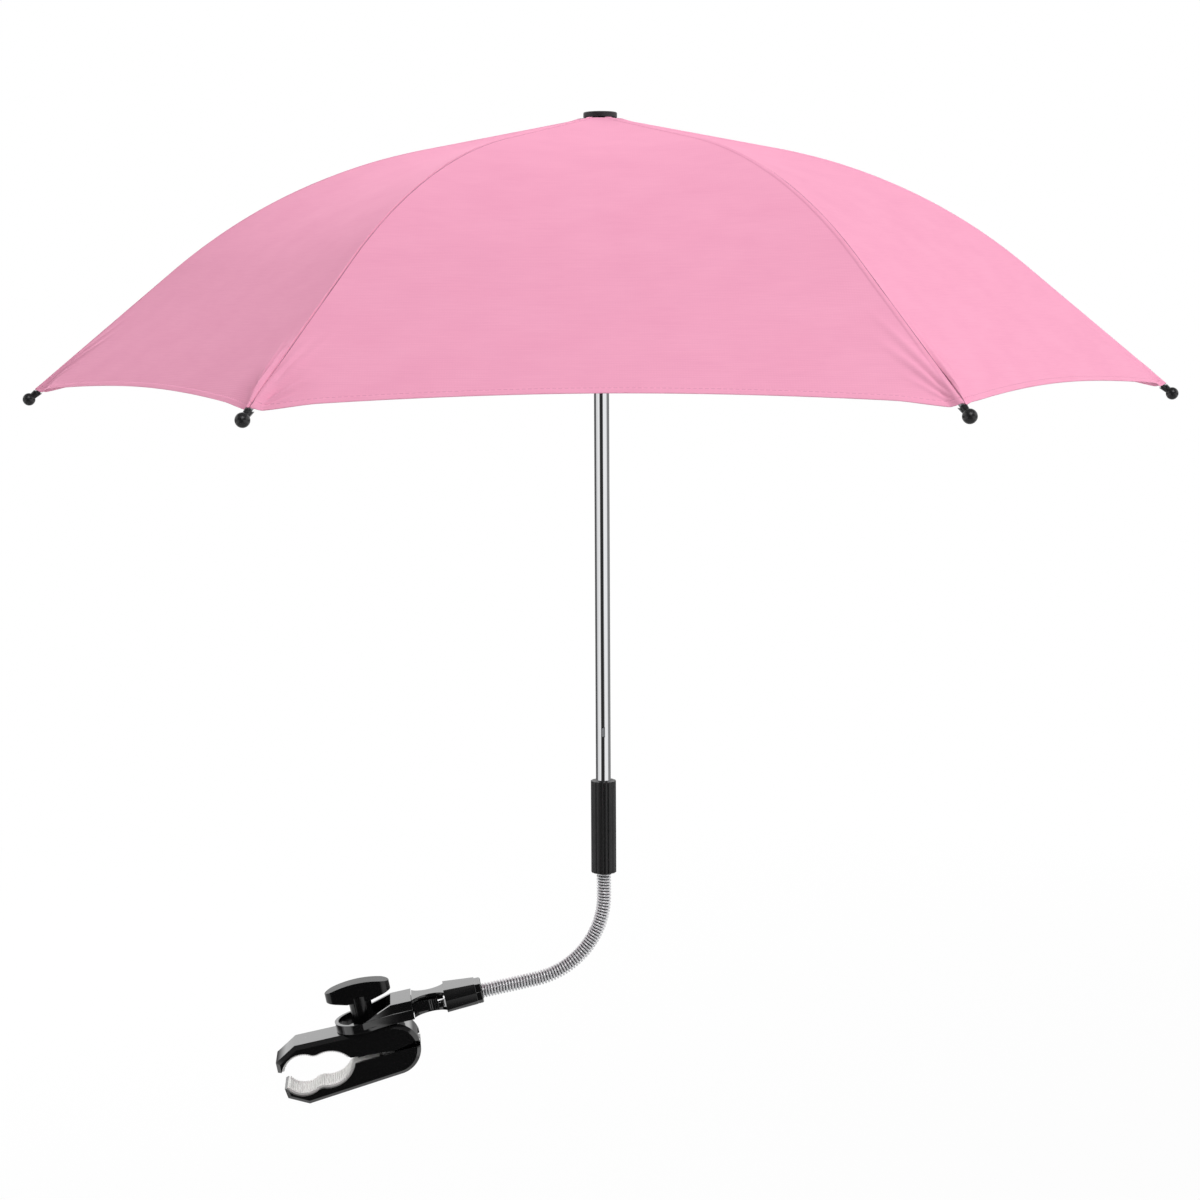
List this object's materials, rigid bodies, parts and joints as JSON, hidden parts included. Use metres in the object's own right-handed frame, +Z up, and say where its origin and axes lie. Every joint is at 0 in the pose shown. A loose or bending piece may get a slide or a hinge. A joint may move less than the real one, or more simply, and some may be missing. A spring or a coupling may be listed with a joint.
{
  "type": "pram parasol",
  "caption": "Clip-on pram parasol: a folding ribbed fabric canopy on a slim pole, with a gooseneck, a quick-release swivel arm and a screw clamp for a pram tube.",
  "frame": {"origin": "centre of the clamp's grip, on the axis of the gripped tube", "axes": "+Y along the gripped tube, +X from the clamp towards the pole, +Z up along the pole"},
  "size_m": [0.7614, 0.6934, 0.657],
  "materials": {
    "canopy_fabric": "pink plain weave polyester",
    "jaw_plastic": "glossy black moulding",
    "knob_plastic": "satin black moulding",
    "sleeve_plastic": "satin black moulding",
    "fitting_plastic": "satin black moulding",
    "tip_plastic": "glossy black moulding",
    "pad_rubber": "pale grey ribbed rubber",
    "pole_chrome": "bright plated",
    "spring_steel": "bright plated wire",
    "core_steel": "dark inner tube",
    "rib_steel": "plated wire",
    "pin_steel": "zinc plated"
  },
  "bodies": {
    "clamp": {"upper_jaw": "jaw_plastic", "upper_pad": "pad_rubber", "jaw_hinge_pin": "pin_steel"},
    "jaw": {"lower_jaw": "jaw_plastic", "lower_pad": "pad_rubber"},
    "knob": {"clamp_knob": "knob_plastic", "clamp_screw": "pin_steel"},
    "nut": {"clamp_nut": "pin_steel"},
    "arm": {"swivel_bracket": "jaw_plastic", "quick_release_plug": "jaw_plastic", "gooseneck_spring": "spring_steel", "gooseneck_core": "core_steel"},
    "near_latch": {"latch_near": "jaw_plastic"},
    "far_latch": {"latch_far": "jaw_plastic"},
    "mast": {"sleeve": "sleeve_plastic", "pole": "pole_chrome", "crown": "fitting_plastic", "crown_wire": "rib_steel", "top_cap": "fitting_plastic"},
    "slider": {"runner": "fitting_plastic"},
    "upper_catch": {"top_catch": "rib_steel"},
    "lower_catch": {"bottom_catch": "rib_steel"},
    "rib_body_1": {"rib_1": "rib_steel", "tip_1": "tip_plastic", "rivet_1": "rib_steel"},
    "stretcher_body_1": {"stretcher_1": "rib_steel"},
    "panel_left_body_1": {"panel_left_1": "canopy_fabric"},
    "panel_right_body_1": {"panel_right_1": "canopy_fabric"},
    "rib_body_2": {"rib_2": "rib_steel", "tip_2": "tip_plastic", "rivet_2": "rib_steel"},
    "stretcher_body_2": {"stretcher_2": "rib_steel"},
    "panel_left_body_2": {"panel_left_2": "canopy_fabric"},
    "panel_right_body_2": {"panel_right_2": "canopy_fabric"},
    "rib_body_3": {"rib_3": "rib_steel", "tip_3": "tip_plastic", "rivet_3": "rib_steel"},
    "stretcher_body_3": {"stretcher_3": "rib_steel"},
    "panel_left_body_3": {"panel_left_3": "canopy_fabric"},
    "panel_right_body_3": {"panel_right_3": "canopy_fabric"},
    "rib_body_4": {"rib_4": "rib_steel", "tip_4": "tip_plastic", "rivet_4": "rib_steel"},
    "stretcher_body_4": {"stretcher_4": "rib_steel"},
    "panel_left_body_4": {"panel_left_4": "canopy_fabric"},
    "panel_right_body_4": {"panel_right_4": "canopy_fabric"},
    "rib_body_5": {"rib_5": "rib_steel", "tip_5": "tip_plastic", "rivet_5": "rib_steel"},
    "stretcher_body_5": {"stretcher_5": "rib_steel"},
    "panel_left_body_5": {"panel_left_5": "canopy_fabric"},
    "panel_right_body_5": {"panel_right_5": "canopy_fabric"},
    "rib_body_6": {"rib_6": "rib_steel", "tip_6": "tip_plastic", "rivet_6": "rib_steel"},
    "stretcher_body_6": {"stretcher_6": "rib_steel"},
    "panel_left_body_6": {"panel_left_6": "canopy_fabric"},
    "panel_right_body_6": {"panel_right_6": "canopy_fabric"}
  },
  "joints": [
    {"name": "knob_turn", "type": "hinge", "parent": "clamp", "child": "knob", "pos_m": [0.04136, 0, 0.0295], "axis": [-0.1942, 0, 0.981], "range_deg": [-1110.87, 2050.83]},
    {"name": "jaw_hinge", "type": "hinge", "parent": "clamp", "child": "jaw", "pos_m": [0.06907, 0, 0.02183], "axis": [0, -1, 0], "range_deg": [-6.5, 12.01]},
    {"name": "nut_travel", "type": "slide", "parent": "clamp", "child": "nut", "axis": [0.1942, 0, -0.981], "range_m": [-0.00309, 0.0057]},
    {"name": "bracket_swivel", "type": "hinge", "parent": "clamp", "child": "arm", "pos_m": [0.04136, 0, 0.0295], "axis": [-0.1942, 0, 0.981], "continuous": true},
    {"name": "gooseneck_bend", "type": "hinge", "parent": "arm", "child": "mast", "pos_m": [0.19122, 0, 0.0774], "axis": [0, 1, 0], "range_deg": [-40, 70], "deforming": ["gooseneck_spring", "gooseneck_core"]},
    {"name": "runner_slide", "type": "slide", "parent": "mast", "child": "slider", "axis": [0, 0, 1], "range_m": [-0.28222, 0], "deforming": ["panel_left_1", "panel_right_1", "panel_left_2", "panel_right_2", "panel_left_3", "panel_right_3", "panel_left_4", "panel_right_4", "panel_left_5", "panel_right_5", "panel_left_6", "panel_right_6", "top_catch", "bottom_catch"]},
    {"name": "latch_near_press", "type": "hinge", "parent": "arm", "child": "near_latch", "pos_m": [0.07645, -0.0094, 0.04123], "axis": [-0.1942, 0, 0.981], "range_deg": [0, 9], "stiffness_Nm_per_rad": 1},
    {"name": "latch_far_press", "type": "hinge", "parent": "arm", "child": "far_latch", "pos_m": [0.07645, 0.0094, 0.04123], "axis": [0.1942, 0, -0.981], "range_deg": [0, 9], "stiffness_Nm_per_rad": 1},
    {"name": "upper_catch_press", "type": "slide", "parent": "mast", "child": "upper_catch", "axis": [0.0872, 0.9962, 0], "range_m": [0, 0.0026], "stiffness_N_per_m": 1500},
    {"name": "lower_catch_press", "type": "slide", "parent": "mast", "child": "lower_catch", "axis": [0.0872, 0.9962, 0], "range_m": [0, 0.0026], "stiffness_N_per_m": 1500},
    {"name": "rib_1_fold", "type": "hinge", "parent": "mast", "child": "rib_body_1", "pos_m": [0.21287, -0.00074, 0.62992], "axis": [0.0872, 0.9962, 0], "range_deg": [0, 63.53]},
    {"name": "stretcher_1_fold", "type": "hinge", "parent": "rib_body_1", "child": "stretcher_body_1", "pos_m": [0.40156, -0.01725, 0.57864], "axis": [0.0872, 0.9962, 0], "range_deg": [-127.06, 0]},
    {"name": "panel_left_1_fold", "type": "hinge", "parent": "rib_body_1", "child": "panel_left_body_1", "pos_m": [0.21457, -0.00089, 0.63225], "axis": [0.8997, -0.0787, -0.4294], "range_deg": [-57.03, 0]},
    {"name": "panel_right_1_fold", "type": "hinge", "parent": "rib_body_1", "child": "panel_right_body_1", "pos_m": [0.21457, -0.00089, 0.63225], "axis": [0.8997, -0.0787, -0.4294], "range_deg": [0, 57.03]},
    {"name": "rib_2_fold", "type": "hinge", "parent": "mast", "child": "rib_body_2", "pos_m": [0.20928, 0.00696, 0.62992], "axis": [-0.8192, 0.5736, 0], "range_deg": [0, 63.53]},
    {"name": "stretcher_2_fold", "type": "hinge", "parent": "rib_body_2", "child": "stretcher_body_2", "pos_m": [0.31792, 0.16212, 0.57864], "axis": [-0.8192, 0.5736, 0], "range_deg": [-127.06, 0]},
    {"name": "panel_left_2_fold", "type": "hinge", "parent": "rib_body_2", "child": "panel_left_body_2", "pos_m": [0.21025, 0.00836, 0.63225], "axis": [0.518, 0.7398, -0.4294], "range_deg": [-57.03, 0]},
    {"name": "panel_right_2_fold", "type": "hinge", "parent": "rib_body_2", "child": "panel_right_body_2", "pos_m": [0.21025, 0.00836, 0.63225], "axis": [0.518, 0.7398, -0.4294], "range_deg": [0, 57.03]},
    {"name": "rib_3_fold", "type": "hinge", "parent": "mast", "child": "rib_body_3", "pos_m": [0.20081, 0.0077, 0.62992], "axis": [-0.9063, -0.4226, 0], "range_deg": [0, 63.53]},
    {"name": "stretcher_3_fold", "type": "hinge", "parent": "rib_body_3", "child": "stretcher_body_3", "pos_m": [0.12076, 0.17937, 0.57864], "axis": [-0.9063, -0.4226, 0], "range_deg": [-127.06, 0]},
    {"name": "panel_left_3_fold", "type": "hinge", "parent": "rib_body_3", "child": "panel_left_body_3", "pos_m": [0.20009, 0.00924, 0.63225], "axis": [-0.3817, 0.8185, -0.4294], "range_deg": [-57.03, 0]},
    {"name": "panel_right_3_fold", "type": "hinge", "parent": "rib_body_3", "child": "panel_right_body_3", "pos_m": [0.20009, 0.00924, 0.63225], "axis": [-0.3817, 0.8185, -0.4294], "range_deg": [0, 57.03]},
    {"name": "rib_4_fold", "type": "hinge", "parent": "mast", "child": "rib_body_4", "pos_m": [0.19594, 0.00074, 0.62992], "axis": [-0.0872, -0.9962, 0], "range_deg": [0, 63.53]},
    {"name": "stretcher_4_fold", "type": "hinge", "parent": "rib_body_4", "child": "stretcher_body_4", "pos_m": [0.00725, 0.01725, 0.57864], "axis": [-0.0872, -0.9962, 0], "range_deg": [-127.06, 0]},
    {"name": "panel_left_4_fold", "type": "hinge", "parent": "rib_body_4", "child": "panel_left_body_4", "pos_m": [0.19424, 0.00089, 0.63225], "axis": [-0.8997, 0.0787, -0.4294], "range_deg": [-57.03, 0]},
    {"name": "panel_right_4_fold", "type": "hinge", "parent": "rib_body_4", "child": "panel_right_body_4", "pos_m": [0.19424, 0.00089, 0.63225], "axis": [-0.8997, 0.0787, -0.4294], "range_deg": [0, 57.03]},
    {"name": "rib_5_fold", "type": "hinge", "parent": "mast", "child": "rib_body_5", "pos_m": [0.19953, -0.00696, 0.62992], "axis": [0.8192, -0.5736, 0], "range_deg": [0, 63.53]},
    {"name": "stretcher_5_fold", "type": "hinge", "parent": "rib_body_5", "child": "stretcher_body_5", "pos_m": [0.09089, -0.16212, 0.57864], "axis": [0.8192, -0.5736, 0], "range_deg": [-127.06, 0]},
    {"name": "panel_left_5_fold", "type": "hinge", "parent": "rib_body_5", "child": "panel_left_body_5", "pos_m": [0.19855, -0.00836, 0.63225], "axis": [-0.518, -0.7398, -0.4294], "range_deg": [-57.03, 0]},
    {"name": "panel_right_5_fold", "type": "hinge", "parent": "rib_body_5", "child": "panel_right_body_5", "pos_m": [0.19855, -0.00836, 0.63225], "axis": [-0.518, -0.7398, -0.4294], "range_deg": [0, 57.03]},
    {"name": "rib_6_fold", "type": "hinge", "parent": "mast", "child": "rib_body_6", "pos_m": [0.208, -0.0077, 0.62992], "axis": [0.9063, 0.4226, 0], "range_deg": [0, 63.53]},
    {"name": "stretcher_6_fold", "type": "hinge", "parent": "rib_body_6", "child": "stretcher_body_6", "pos_m": [0.28804, -0.17937, 0.57864], "axis": [0.9063, 0.4226, 0], "range_deg": [-127.06, 0]},
    {"name": "panel_left_6_fold", "type": "hinge", "parent": "rib_body_6", "child": "panel_left_body_6", "pos_m": [0.20872, -0.00924, 0.63225], "axis": [0.3817, -0.8185, -0.4294], "range_deg": [-57.03, 0]},
    {"name": "panel_right_6_fold", "type": "hinge", "parent": "rib_body_6", "child": "panel_right_body_6", "pos_m": [0.20872, -0.00924, 0.63225], "axis": [0.3817, -0.8185, -0.4294], "range_deg": [0, 57.03]}
  ],
  "couplings": [
    {"joint": "jaw_hinge", "follows": "knob_turn", "ratio": 0.0058513},
    {"joint": "nut_travel", "follows": "knob_turn", "m_per_rad": 0.00015915},
    {"joint": "rib_1_fold", "follows": "runner_slide", "rad_per_m": -3.927},
    {"joint": "stretcher_1_fold", "follows": "runner_slide", "rad_per_m": 7.854},
    {"joint": "panel_left_1_fold", "follows": "runner_slide", "rad_per_m": 3.525},
    {"joint": "panel_right_1_fold", "follows": "runner_slide", "rad_per_m": -3.525},
    {"joint": "rib_2_fold", "follows": "runner_slide", "rad_per_m": -3.927},
    {"joint": "stretcher_2_fold", "follows": "runner_slide", "rad_per_m": 7.854},
    {"joint": "panel_left_2_fold", "follows": "runner_slide", "rad_per_m": 3.525},
    {"joint": "panel_right_2_fold", "follows": "runner_slide", "rad_per_m": -3.525},
    {"joint": "rib_3_fold", "follows": "runner_slide", "rad_per_m": -3.927},
    {"joint": "stretcher_3_fold", "follows": "runner_slide", "rad_per_m": 7.854},
    {"joint": "panel_left_3_fold", "follows": "runner_slide", "rad_per_m": 3.525},
    {"joint": "panel_right_3_fold", "follows": "runner_slide", "rad_per_m": -3.525},
    {"joint": "rib_4_fold", "follows": "runner_slide", "rad_per_m": -3.927},
    {"joint": "stretcher_4_fold", "follows": "runner_slide", "rad_per_m": 7.854},
    {"joint": "panel_left_4_fold", "follows": "runner_slide", "rad_per_m": 3.525},
    {"joint": "panel_right_4_fold", "follows": "runner_slide", "rad_per_m": -3.525},
    {"joint": "rib_5_fold", "follows": "runner_slide", "rad_per_m": -3.927},
    {"joint": "stretcher_5_fold", "follows": "runner_slide", "rad_per_m": 7.854},
    {"joint": "panel_left_5_fold", "follows": "runner_slide", "rad_per_m": 3.525},
    {"joint": "panel_right_5_fold", "follows": "runner_slide", "rad_per_m": -3.525},
    {"joint": "rib_6_fold", "follows": "runner_slide", "rad_per_m": -3.927},
    {"joint": "stretcher_6_fold", "follows": "runner_slide", "rad_per_m": 7.854},
    {"joint": "panel_left_6_fold", "follows": "runner_slide", "rad_per_m": 3.525},
    {"joint": "panel_right_6_fold", "follows": "runner_slide", "rad_per_m": -3.525}
  ]
}
